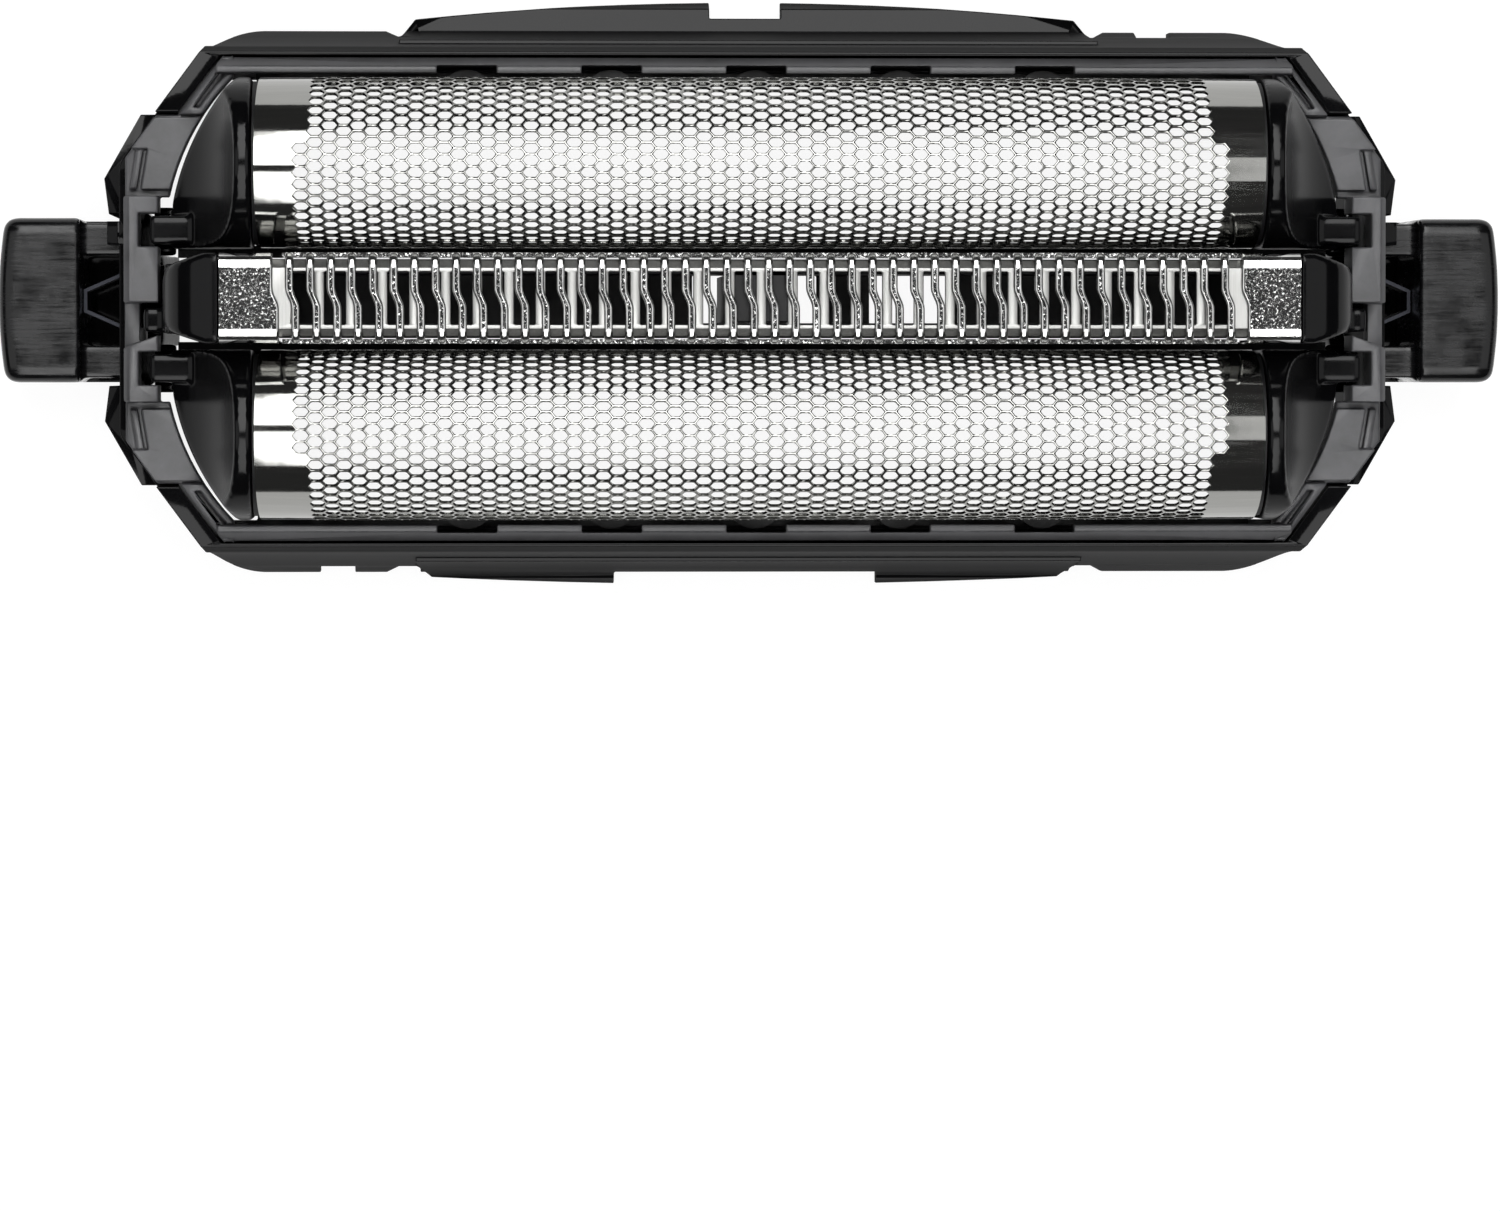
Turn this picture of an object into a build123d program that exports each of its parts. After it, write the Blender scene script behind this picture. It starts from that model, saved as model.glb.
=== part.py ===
from build123d import *
import os
from math import degrees, radians, sqrt, tan

# Outer foil head of a three-blade dry shaver, in millimetres.
# X runs along the head, Y to its rear, Z up, and the skirt edge lies on Z = 0.
# A flared frame holds an inner cassette. Two arched foils and a slit trimmer between them
# float up and down in the cassette's guide slots. A push button at each end frees the head,
# which is 66 mm long over both buttons.

# Foils
crest_height = 19.0  # skirt edge to the top of the foils
crest_radius = 333.0  # gentle bow of the foils along the head
foil_radius = 3.66  # outside of the arch
foil_sheet = 0.12
foil_length = 43.2  # along the crest
foil_depth = 9.4  # crest to the lower edge
mesh_columns = 6  # plain grid of openings, for the fine perforation
mesh_rows = 3
mesh_bar = 0.6  # between two openings
mesh_reach = 20.0  # end of the grid from the middle
mesh_arc = 174.0  # degrees of the arch that the grid covers

# Foil holders
holder_base = 0.3
holder_lip = 0.3  # strip outside the foil's lower edge
lip_height = 1.1
boss_count = 5
boss_margin = 9.08  # foil end to the middle of the first boss
boss_width = 1.8
boss_depth = 0.4  # half-moon boss, out from the foil
boss_rise = 1.2  # above the lip
end_plate = 0.5
end_notch = 2.6  # half width of the notch under an end plate
float_travel = 1.5  # lift of a foil unit

# Foil end caps
cap_shoulder = 0.65  # cap's length along the outer edge
cap_tip_width = 1.95  # end face beside the trimmer
cap_crown = 0.7  # level part next to the foil
cap_low = 4.9  # end of the sweep below the crest
cap_hollow = 0.5  # depth of the sweep's curve
cap_depth = 8.4
cap_bow = 0.45  # bulge of the cap's outer side, seen from above
lug_width = 1.2
lug_reach = 0.95  # past the cap's tip
lug_inset = 0.2  # from the cap's inner side
lug_rise = 0.25  # above the brackets
lug_foot = 0.7
lug_foot_width = 2.1

# Slit trimmer
trimmer_width = 3.87
comb_overhang = 1.45  # comb past the end of the foils
comb_drop = 0.4  # top of the comb below the crest
comb_sheet = 0.2
comb_depth = 3.4
comb_bevel = 0.55
slit_count = 47
slit_margin = 2.67  # comb end to the middle of the first slit
bar_width = 0.306  # between two slits
slit_jog = 0.27  # sideways step in the middle of each slit
jog_length = 0.75
blade_sheet = 0.2
blade_depth = 1.8
blade_rail = 0.15  # rail along each side of the teeth
blade_margin = 1.17  # plain end of the blade
tooth_width = 0.43
tooth_count = 30
blade_stroke = 1.1  # each way
carrier_waist = 3.0  # width below the channel
carrier_floor = 0.8
carrier_wall = 0.45
carrier_head = 2.3  # depth of the wide upper part
carrier_end = 0.73
window_length = 3.4
window_centre = 6.7
yoke_length = 3.0
yoke_width = 2.0
yoke_drop = 3.2  # below the carrier
yoke_slot = 1.2
trimmer_cap_length = 2.4
trimmer_cap_neck = 0.6  # full width next to the comb
trimmer_cap_nose = 2.7  # width at the tip
trimmer_cap_slope = 3.0
trimmer_cap_round = 0.8
trimmer_travel = 1.3  # downwards
key_width = 1.0
key_centre = -0.9
key_reach = 0.95
foot_height = 0.5

# Cassette
rim_lip = 0.98  # rim above the play of the foil holders
rim_flat = 0.3  # level part of the rim's top
cassette_wall = 0.7
cassette_web = 0.35
shelf_height = 0.8
notch_width = 2.6
deck_drop = 0.6  # decks below the rim
deck_thickness = 1.5
bracket_rise = 1.3  # brackets above the decks
bracket_depth = 1.5
bracket_back = 0.65
bracket_side = 0.72  # bracket beyond the lug slot
rear_bracket_end = -0.15
front_bracket_end = -1.55
front_bracket_slant = 0.55
bracket_bevel = 0.25
pocket_border = 0.3
pocket_depth = 0.7
pocket_start = 8.3  # nearest pocket edge from the middle plane
ledge_near = 4.75  # ledge's end beside the bracket, from the middle plane
ledge_step = 6.5  # where the ledge widens, from the middle plane
ledge_setback = 1.0  # ledge's outer edge behind the brackets' outer face
ledge_slant = 0.3
trough_depth = 0.7
rib_gap = 0.2
rib_width = 0.3
rib_drop = 0.25  # rib below the ledge
seam_width = 0.15
seam_depth = 0.4

# Outer frame
frame_margin = 0.3  # frame end past the brackets
frame_wall = 0.8
frame_rim = 0.4
frame_edge = 0.15  # level part of the frame's top
edge_bevel = 0.8  # height of the bevel below it
rim_step = 0.7  # frame's top edge below the cassette rim
skirt_flare = 1.15
skirt_lip = 1.2
skirt_wall = 0.9
ledge_height = 0.75
corner_run = 4.6
corner_rise = 6.2
corner_round = 3.0
end_round = 1.0
end_gate = 16.2  # width of the lowered end wall
rear_plate_inset = 12.1  # plate end from the frame end
front_plate_inset = 12.8
plate_height = 5.6
plate_lip = 0.9
plate_edge = 0.3  # bevel along the plate's outer edge
rear_shelf = 1.1  # nearly level part of the plate's top
front_shelf = 0.15
shelf_slope = 0.36
rear_plate_flare = 1.35
front_plate_flare = 0.6
plate_end_share = 0.4  # of the flare, at the plate's ends
plate_bevel = 0.7
rear_notch = 3.2
rear_notch_depth = 0.75
front_gap = 11.8
valley_inset = 11.5  # valley's outer end from the frame end
valley_width = 1.5
valley_depth = 0.3
valley_slope = 0.55
valley_height = 4.6
key_slot_inset = 9.3  # middle of the slot from the frame end
key_slot_width = 1.55
spring_shelf = 5.6
spring_shelf_width = 2.4
spring_shelf_height = 0.7
spring_gusset = 1.7
sill_reach = 2.5  # sill under the button, from the frame end
guard_width = 1.0
guard_height = 2.6
shoulder_near = 3.75  # shoulder's face beside the button, from the middle plane
shoulder_apex = 5.3
shoulder_reach = 0.75  # apex beyond the frame end
shoulder_slant = 0.2
shoulder_taper = 1.6  # from the apex to the far end
shoulder_height = 9.0

# Release buttons
button_stand = 1.85  # frame end to the back of the button's head
button_depth = 3.55
button_width = 7.2
button_base = 1.0
button_height = 8.0
button_bulge = 0.3
button_round = 0.6
button_travel = 1.2
arm_gap = 4.0  # between the two arms
arm_width = 1.4
arm_height = 5.0
arm_lift = 1.6  # arms above the button's underside
barb_width = 0.6
barb_length = 0.7
latch_height = 1.9
latch_tooth = 0.7

# Leaf springs
leaf_sheet = 0.15
leaf_width = 2.0
leaf_foot = 0.7
leaf_crown = 0.8
trimmer_leaf_span = 4.0
button_leaf_span = 3.6
spring_room = 0.5  # left under the trimmer when it is pressed down

# Clearances
seat_gap = 0.05  # faces that rest on each other
slide_gap = 0.12  # guided faces
unit_gap = 0.25  # round the floating units
blade_gap = 0.1
end_gap = 0.3

# Places that follow from the sizes
foil_offset = trimmer_width / 2 + unit_gap + foil_radius
foil_axis_z = crest_height - foil_radius
foil_edge_z = crest_height - foil_depth
foil_end = foil_length / 2
bow_axis = Axis((0, 0, crest_height - crest_radius), (0, 1, 0))
lip_top = foil_edge_z + lip_height
holder_bottom = foil_edge_z - seat_gap - holder_base
lip_outer = foil_radius + seat_gap + holder_lip
boss_pitch = 2 * (foil_end - boss_margin) / (boss_count - 1)
boss_places = [boss_pitch * (i - (boss_count - 1) / 2) for i in range(boss_count)]

comb_top = crest_height - comb_drop
comb_end = foil_end + comb_overhang
slit_pitch = 2 * (comb_end - slit_margin) / (slit_count - 1)
slit_width = slit_pitch - bar_width
blade_top = comb_top - comb_sheet - blade_gap
carrier_top = blade_top - blade_depth - blade_gap
channel_inner = trimmer_width / 2 - comb_sheet
blade_end = comb_end - carrier_end - slide_gap - blade_stroke
tooth_pitch = (2 * (blade_end - blade_margin) + tooth_width) / tooth_count
trimmer_tip = comb_end + seat_gap + trimmer_cap_length

bracket_inner = trimmer_tip + end_gap
bracket_outer = bracket_inner + bracket_depth
cap_start = foil_end + slide_gap
cap_tip = trimmer_tip - end_gap
cap_inner = foil_offset - foil_radius
cap_bottom = crest_height - cap_depth
lug_centre = cap_inner + lug_inset + lug_width / 2
lug_slot = lug_width + 2 * slide_gap
bracket_half = lug_centre + lug_slot / 2 + bracket_side
rim_under = lip_top + float_travel + slide_gap
rim_height = rim_under + rim_lip
deck_top = rim_height - deck_drop
deck_bottom = deck_top - deck_thickness
bracket_top = deck_top + bracket_rise
carrier_bottom = deck_bottom - slide_gap - foot_height

ledge_edge = bracket_outer - ledge_setback
cassette_inner = foil_offset + foil_radius + unit_gap
cassette_outer = cassette_inner + cassette_wall
deck_start = cap_start + cap_shoulder + unit_gap
shelf_top = holder_bottom - seat_gap
cassette_bottom = shelf_top - shelf_height

frame_end = bracket_outer + frame_margin
frame_inner = cassette_outer + slide_gap
frame_top_half = frame_inner + frame_rim
frame_half = frame_top_half + skirt_flare
frame_top = rim_height - rim_step
end_wall_top = deck_bottom - seat_gap
ledge_top = cassette_bottom - seat_gap
spring_shelf_top = carrier_bottom - trimmer_travel - spring_room

button_back = frame_end + button_stand
button_tip = button_back + button_depth
arm_bottom = button_base + arm_lift


def block(x0, x1, y0, y1, z0, z1):
    """Block between two corners."""
    middle = Pos((x0 + x1) / 2, (y0 + y1) / 2, (z0 + z1) / 2)
    return middle * Box(x1 - x0, y1 - y0, z1 - z0)


def outline(points):
    """Face inside a closed line of straight edges."""
    return make_face(Polyline(*points, close=True))


def both_ends(part):
    """The part and its mirror image at the other end of the head."""
    return part + mirror(part, Plane.YZ)


def both_sides(part):
    """The part and its mirror image on the other long side."""
    return part + mirror(part, Plane.XZ)


def along_x(section, x0, x1):
    """Section drawn across the head (Y, Z), drawn out from x0 to x1."""
    return extrude(Plane.YZ.offset(x0) * section, x1 - x0)


def along_y(profile, y0, y1):
    """Side profile (X, Z), drawn out from y0 to y1."""
    return extrude(Plane.XZ.offset(-y0) * profile, y0 - y1)


def along_z(plan, z0, z1):
    """Plan (X, Y), drawn out from z0 to z1."""
    return extrude(Plane.XY.offset(z0) * plan, z1 - z0)


def along_bow(section, x0, x1):
    """Section across the head (Y, Z), turned along the bow of the crest from x0 to x1."""
    part = revolve(Plane.YZ * section, bow_axis, degrees((x1 - x0) / crest_radius))
    return part.rotate(bow_axis, degrees(x0 / crest_radius))


def crest_sag(x):
    """Drop of the bowed crest at a distance x from the middle."""
    return crest_radius - sqrt(crest_radius**2 - x**2)


def arch(centre, axis_z, radius, foot):
    """Arch section: a half round on straight sides that reach down to the foot."""
    left = centre - radius
    right = centre + radius
    sides = Polyline((left, axis_z), (left, foot), (right, foot), (right, axis_z))
    crown = ThreePointArc((right, axis_z), (centre, axis_z + radius), (left, axis_z))
    return make_face([*sides.edges(), crown])


# Foils


def foil_openings():
    """Wedges from the axis of the arch outwards, which cut the grid of openings."""
    row_pitch = mesh_arc / mesh_rows
    column_pitch = 2 * mesh_reach / mesh_columns
    half_width = foil_depth * tan(radians(row_pitch / 2) - mesh_bar / foil_radius / 2)
    wedge = outline([(0, 0), (-half_width, foil_depth), (half_width, foil_depth)])
    openings = []
    for row in range(mesh_rows):
        tilt = row_pitch * (row - (mesh_rows - 1) / 2)
        section = Pos(foil_offset, foil_axis_z) * Rot(0, 0, tilt) * wedge
        for column in range(mesh_columns):
            x0 = column_pitch * column - mesh_reach + mesh_bar / 2
            openings.append(along_bow(section, x0, x0 + column_pitch - mesh_bar))
    return openings


def foil():
    """Bowed arch of thin sheet over the rear axis, with a grid of openings and straight lower edges."""
    sheet = arch(foil_offset, foil_axis_z, foil_radius, foil_edge_z)
    sheet -= arch(foil_offset, foil_axis_z, foil_radius - foil_sheet, foil_edge_z)
    part = along_bow(sheet, -foil_end, foil_end)
    part -= block(-foil_length, foil_length, 0, 2 * foil_offset, 0, foil_edge_z)
    return part - foil_openings()


# Foil holders and their end caps


def foil_holder():
    """Two angle rails under the foil, a plate at each end and tongues that run on beside the trimmer."""
    root = foil_radius + seat_gap
    bay = foil_radius - foil_sheet - seat_gap
    base_top = holder_bottom + holder_base
    section = outline(
        [
            (bay, holder_bottom),
            (lip_outer, holder_bottom),
            (lip_outer, lip_top),
            (root, lip_top),
            (root, base_top),
            (bay, base_top),
        ]
    )
    rail_end = cap_start - seat_gap
    rails = both_sides(along_x(section, -rail_end, rail_end))
    plate_start = rail_end - end_plate
    low_axis = foil_axis_z - crest_sag(rail_end)
    plate = along_x(arch(0, low_axis, bay, holder_bottom), plate_start, rail_end)
    plate += block(plate_start, rail_end, -root, root, holder_bottom, base_top)
    plate -= block(plate_start, rail_end, -end_notch, end_notch, holder_bottom, lip_top)
    plate += block(plate_start, cap_tip - slide_gap, -lip_outer, -bay, holder_bottom, cap_bottom - seat_gap)
    rails += both_ends(plate)
    half = boss_width / 2
    bow = ThreePointArc((-half, root), (0, root + boss_depth), (half, root))
    boss_plan = make_face([bow, Line((-half, root), (half, root))])
    boss = along_z(boss_plan, holder_bottom, lip_top + boss_rise)
    for x in boss_places:
        rails += Pos(x, 0, 0) * boss
    return Pos(0, foil_offset, 0) * rails


def cap_plan():
    """Plan of a right-hand foil cap at the rear: narrow outside, bowed out to its tip."""
    outer = foil_offset + foil_radius
    shoulder = (cap_start + cap_shoulder, outer)
    tip = (cap_tip, cap_inner + cap_tip_width)
    sides = Polyline(tip, (cap_tip, cap_inner), (cap_start, cap_inner), (cap_start, outer), shoulder)
    return make_face([*sides.edges(), SagittaArc(shoulder, tip, cap_bow)])


def foil_cap():
    """Right-hand cap at the rear: the foil's arch, swept down to a lug that slides in a bracket."""
    top = crest_height - crest_sag(foil_end)
    low = top - cap_low
    crown_end = cap_start + cap_crown
    sides = Polyline(
        (cap_tip, low), (cap_tip, cap_bottom), (cap_start, cap_bottom), (cap_start, top), (crown_end, top)
    )
    sweep = SagittaArc((crown_end, top), (cap_tip, low), -cap_hollow)
    profile = make_face([*sides.edges(), sweep])
    part = along_z(cap_plan(), cap_bottom, top)
    part &= along_y(profile, 0, 2 * foil_offset)
    part &= along_x(arch(foil_offset, top - foil_radius, foil_radius, cap_bottom), 0, 2 * cap_tip)
    foot_top = deck_bottom - float_travel - slide_gap
    lug_front = lug_centre - lug_width / 2
    lug_back = lug_centre + lug_width / 2
    lug_top = bracket_top + lug_rise
    part += block(cap_tip - lug_reach, cap_tip + lug_reach, lug_front, lug_back, foot_top, lug_top)
    foot_front = lug_centre - lug_foot_width / 2
    foot_back = lug_centre + lug_foot_width / 2
    part += block(cap_tip, cap_tip + lug_reach, foot_front, foot_back, foot_top - lug_foot, foot_top)
    return part


# Slit trimmer


def channel_section(half, top, sheet, depth, bevel):
    """Upside-down channel of thin sheet with bevelled shoulders."""
    def shell(width, crown, cut):
        return outline(
            [
                (-width, top - depth),
                (-width, crown - cut),
                (-width + cut, crown),
                (width - cut, crown),
                (width, crown - cut),
                (width, top - depth),
            ]
        )

    inner_cut = bevel - sheet * (2 - sqrt(2))
    return shell(half, top, bevel) - shell(half - sheet, top - sheet, inner_cut)


def slit_plan():
    """Plan of one slit, with its sideways step in the middle."""
    reach = trimmer_width
    left = -slit_width / 2
    right = slit_width / 2
    shift = slit_jog / 2
    step = jog_length / 2
    return outline(
        [
            (left - shift, reach),
            (right - shift, reach),
            (right - shift, step),
            (right + shift, -step),
            (right + shift, -reach),
            (left + shift, -reach),
            (left + shift, -step),
            (left - shift, step),
        ]
    )


def trimmer_comb():
    """Fixed comb: a channel with a row of stepped slits across its top."""
    section = channel_section(trimmer_width / 2, comb_top, comb_sheet, comb_depth, comb_bevel)
    part = along_x(section, -comb_end, comb_end)
    slit = along_z(slit_plan(), comb_top - comb_bevel, comb_top + comb_sheet)
    first = slit_margin - comb_end
    return part - [Pos(first + i * slit_pitch, 0, 0) * slit for i in range(slit_count)]


def trimmer_blade():
    """Sliding blade: a smaller channel with teeth between two rails along its top."""
    half = channel_inner - blade_gap
    bevel = comb_bevel - comb_sheet
    section = channel_section(half, blade_top, blade_sheet, blade_depth, bevel)
    part = along_x(section, -blade_end, blade_end)
    gap = (tooth_pitch - tooth_width) / 2
    reach = half - bevel - blade_rail
    cut = block(-gap, gap, -reach, reach, blade_top - 2 * blade_sheet, blade_top + blade_sheet)
    first = -tooth_pitch * (tooth_count - 1) / 2
    return part - [Pos(first + i * tooth_pitch, 0, 0) * cut for i in range(tooth_count)]


def trimmer_carrier():
    """Trough that the comb's sides clip over, open along the middle for the blade's yoke."""
    waist = carrier_waist / 2
    head = channel_inner - seat_gap
    head_bottom = carrier_top - carrier_head
    inner = waist - carrier_wall
    floor_top = carrier_bottom + carrier_floor
    half = outline(
        [
            (0, carrier_bottom),
            (waist, carrier_bottom),
            (waist, head_bottom),
            (head, head_bottom + head - waist),
            (head, carrier_top),
            (inner, carrier_top),
            (inner, floor_top),
            (0, floor_top),
        ]
    )
    part = both_sides(along_x(half, -comb_end, comb_end))
    end_top = comb_top - comb_sheet - seat_gap
    end_start = comb_end - carrier_end
    part += both_ends(block(end_start, comb_end, -inner, inner, carrier_bottom, end_top))
    yoke_half = yoke_length / 2 + blade_stroke + slide_gap
    part -= block(-yoke_half, yoke_half, -inner, inner, carrier_bottom, floor_top)
    window = block(-window_length / 2, window_length / 2, -inner, inner, carrier_bottom, floor_top)
    return part - Pos(window_centre, 0, 0) * window


def trimmer_yoke():
    """Drive block under the blade, forked at its lower end."""
    bottom = carrier_bottom - yoke_drop
    top = blade_top - blade_sheet - seat_gap
    profile = outline(
        [
            (-yoke_length / 2, bottom),
            (-yoke_slot / 2, bottom),
            (-yoke_slot / 2, bottom + yoke_drop / 2),
            (yoke_slot / 2, bottom + yoke_drop / 2),
            (yoke_slot / 2, bottom),
            (yoke_length / 2, bottom),
            (yoke_length / 2, top),
            (-yoke_length / 2, top),
        ]
    )
    return along_y(profile, -yoke_width / 2, yoke_width / 2)


def trimmer_cap():
    """Right-hand end plug of the trimmer, with a guide key and a foot under the bracket."""
    start = comb_end + seat_gap
    half = trimmer_width / 2
    bottom = comb_top - comb_depth
    sides = Polyline(
        (trimmer_tip, comb_top - trimmer_cap_slope), (trimmer_tip, bottom), (start, bottom), (start, comb_top)
    )
    slope = TangentArc((start, comb_top), (trimmer_tip, comb_top - trimmer_cap_slope), tangent=(1, 0))
    neck = start + trimmer_cap_neck
    nose = trimmer_cap_nose / 2
    front = [(start, -half), (neck, -half), (trimmer_tip, -nose)]
    plan = outline([*front, (trimmer_tip, nose), (neck, half), (start, half)])
    plan = fillet(plan.vertices().group_by(Axis.X)[-1], trimmer_cap_round)
    part = along_z(plan, bottom, comb_top)
    part &= along_y(make_face([*sides.edges(), slope]), -half, half)
    waist = carrier_waist / 2
    foot_top = carrier_bottom + foot_height
    part += block(start, trimmer_tip, -waist, waist, carrier_bottom, bottom)
    key_front = key_centre - key_width / 2
    key_back = key_centre + key_width / 2
    part += block(trimmer_tip, trimmer_tip + key_reach, key_front, key_back, carrier_bottom, bracket_top)
    part += block(trimmer_tip, trimmer_tip + key_reach, key_front, waist, carrier_bottom, foot_top)
    return part


# Cassette


def frame_plan():
    """Plan of the frame: long chamfered corners, rounded where they meet the sides and ends."""
    corner_x = frame_end - corner_run
    corner_y = frame_half - corner_rise
    right = [(frame_end, -corner_y), (frame_end, corner_y), (corner_x, frame_half)]
    left = [(-x, -y) for x, y in right]
    plan = outline([(corner_x, -frame_half), *right, (-corner_x, frame_half), *left])
    by_end = plan.vertices().group_by(Axis.X)
    plan = fillet(by_end[1] + by_end[-2], corner_round)
    by_end = plan.vertices().group_by(Axis.X)
    return fillet(by_end[0] + by_end[-1], end_round)


def cassette_opening():
    """Plan of the opening that the floating units pass through."""
    units = Rectangle(2 * cap_start, 2 * (foil_offset + foil_radius))
    units += Rectangle(2 * cap_tip, 2 * (cap_inner + cap_tip_width))
    units += both_ends(both_sides(cap_plan()))
    around = offset(units, unit_gap, kind=Kind.INTERSECTION)
    return around + Rectangle(2 * (bracket_outer - bracket_back), 2 * bracket_half)


def cassette_inside():
    """Plan of the room that the frame leaves for the cassette."""
    return offset(frame_plan(), -frame_wall - slide_gap) & Rectangle(2 * frame_end, 2 * cassette_outer)


def cassette_decks():
    """End decks over the frame's lowered end walls, each with a sunk corner pocket and a flat ledge."""
    over_wall = Rectangle(2 * bracket_outer, end_gate - 2 * slide_gap) & offset(frame_plan(), -slide_gap)
    plan = cassette_inside() + over_wall - cassette_opening()
    plan -= Rectangle(2 * deck_start, 2 * frame_half)
    part = along_z(plan, deck_bottom, deck_top)
    corners = plan - Rectangle(2 * frame_end, 2 * (pocket_start - pocket_border))
    for corner in corners.faces():
        part -= along_z(offset(corner, -pocket_border), deck_top - pocket_depth, deck_top)
    trough = outline(
        [
            (deck_start, bracket_half),
            (2 * frame_end, bracket_half),
            (2 * frame_end, ledge_step),
            (ledge_edge, ledge_step),
            (ledge_edge + ledge_slant, ledge_near),
            (deck_start, ledge_near),
        ]
    )
    trough_floor = deck_top - trough_depth
    low = along_z(trough, trough_floor, deck_top)
    seam_back = pocket_start - pocket_border
    seam_floor = deck_top - seam_depth
    low += block(deck_start, 2 * frame_end, seam_back - seam_width, seam_back, seam_floor, deck_top)
    rib_plan = outline(
        [
            (ledge_edge + rib_gap, ledge_step),
            (ledge_edge + rib_gap + rib_width, ledge_step),
            (ledge_edge + rib_gap + rib_width + ledge_slant, ledge_near),
            (ledge_edge + rib_gap + ledge_slant, ledge_near),
        ]
    )
    low -= along_z(rib_plan, trough_floor, deck_top - rib_drop)
    return part - both_ends(both_sides(low))


def cassette_walls():
    """Long walls: a shelf under the foil holders and a rim with a notch for each boss."""
    shelf_inner = cassette_inner - unit_gap / 2
    web_inner = cassette_outer - cassette_web
    section = outline(
        [
            (shelf_inner, cassette_bottom),
            (cassette_outer, cassette_bottom),
            (cassette_outer, rim_height - rim_step),
            (cassette_inner + rim_flat, rim_height),
            (cassette_inner, rim_height),
            (cassette_inner, rim_under),
            (web_inner, rim_under),
            (web_inner, shelf_top),
            (shelf_inner, shelf_top),
        ]
    )
    wall_end = deck_start + cassette_wall
    part = along_x(section, -wall_end, wall_end)
    notch = block(-notch_width / 2, notch_width / 2, shelf_inner, web_inner, rim_under, rim_height)
    part -= [Pos(x, 0, 0) * notch for x in boss_places]
    return both_sides(part) & along_z(cassette_inside(), cassette_bottom, rim_height)


def cassette_frame():
    """Inner frame that carries the cutting units."""
    return cassette_decks() + cassette_walls() + both_ends(end_guides())


def end_guides():
    """Slotted brackets at the right end and the back wall behind them."""
    back = bracket_outer - bracket_back
    part = block(bracket_inner, bracket_outer, rear_bracket_end, bracket_half, deck_bottom, bracket_top)
    front = outline(
        [
            (bracket_inner, -bracket_half),
            (bracket_outer, -bracket_half),
            (bracket_outer, front_bracket_end - front_bracket_slant),
            (bracket_inner, front_bracket_end),
        ]
    )
    part += along_z(front, deck_bottom, bracket_top)
    top_edges = part.faces().filter_by(Axis.Z).group_by(Axis.Z)[-1].edges()
    part = chamfer(top_edges.group_by(Axis.X)[-1], bracket_bevel)
    part += block(back, bracket_outer, -bracket_half, bracket_half, deck_bottom, deck_top)
    slot_front = lug_centre - lug_slot / 2
    slot_back = lug_centre + lug_slot / 2
    slot = block(bracket_inner, back, slot_front, slot_back, deck_bottom, bracket_top)
    return part - both_sides(slot)


# Outer frame


def skirt_section():
    """Outer section of the frame: a bevelled top edge and a wall that flares out to the skirt edge."""
    bevel_foot = frame_top - edge_bevel
    flare = TangentArc((frame_top_half, bevel_foot), (frame_half, skirt_lip), tangent=(0, -1))
    lip = Polyline((frame_half, skirt_lip), (frame_half, 0), (0, 0))
    edge = frame_inner + frame_edge
    top = Polyline((0, 0), (0, frame_top), (edge, frame_top), (frame_top_half, bevel_foot))
    return make_face([*top.edges(), flare, *lip.edges()])


def frame_cavity():
    """Space inside the frame, with a ledge on each long side that the cassette sits on."""
    skirt_inner = frame_half - skirt_wall
    ledge_inner = cassette_inner
    ledge_bottom = ledge_top - ledge_height
    half = outline(
        [
            (0, 0),
            (skirt_inner, 0),
            (skirt_inner, skirt_lip),
            (frame_inner, ledge_bottom - ledge_height),
            (ledge_inner, ledge_bottom),
            (ledge_inner, ledge_top),
            (frame_inner, ledge_top),
            (frame_inner, frame_top),
            (0, frame_top),
        ]
    )
    section = both_sides(along_x(half, -frame_end, frame_end))
    return along_z(offset(frame_plan(), -frame_wall), 0, frame_top) & section


def skirt_plate(inset, flare, shelf):
    """Flared plate on the middle of a long side, widest in the middle, with a shelf on its outer part."""
    half = frame_end - inset
    reach = frame_half + flare
    end_reach = frame_half + plate_end_share * flare
    inner = frame_half - skirt_wall
    edge = ThreePointArc((-half + plate_bevel, end_reach), (0, reach), (half - plate_bevel, end_reach))
    back = Polyline(
        (half - plate_bevel, end_reach), (half, frame_half - plate_bevel / 2), (half, inner),
        (-half, inner), (-half, frame_half - plate_bevel / 2), (-half + plate_bevel, end_reach),
    )
    plan = make_face([edge, *back.edges()])
    plate_root = frame_half - skirt_flare / 2
    shelf_edge = reach - plate_edge
    shelf_foot = (shelf_edge - shelf, plate_lip + shelf * shelf_slope)
    hollow = TangentArc((plate_root, plate_height), shelf_foot, tangent=(0, -1))
    under = Polyline(
        shelf_foot, (shelf_edge, plate_lip), (reach, plate_lip - 2 * plate_edge), (reach, 0), (inner, 0),
        (inner, plate_height), (plate_root, plate_height),
    )
    section = make_face([hollow, *under.edges()])
    return along_z(plan, 0, plate_height) & along_x(section, -half, half)


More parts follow.
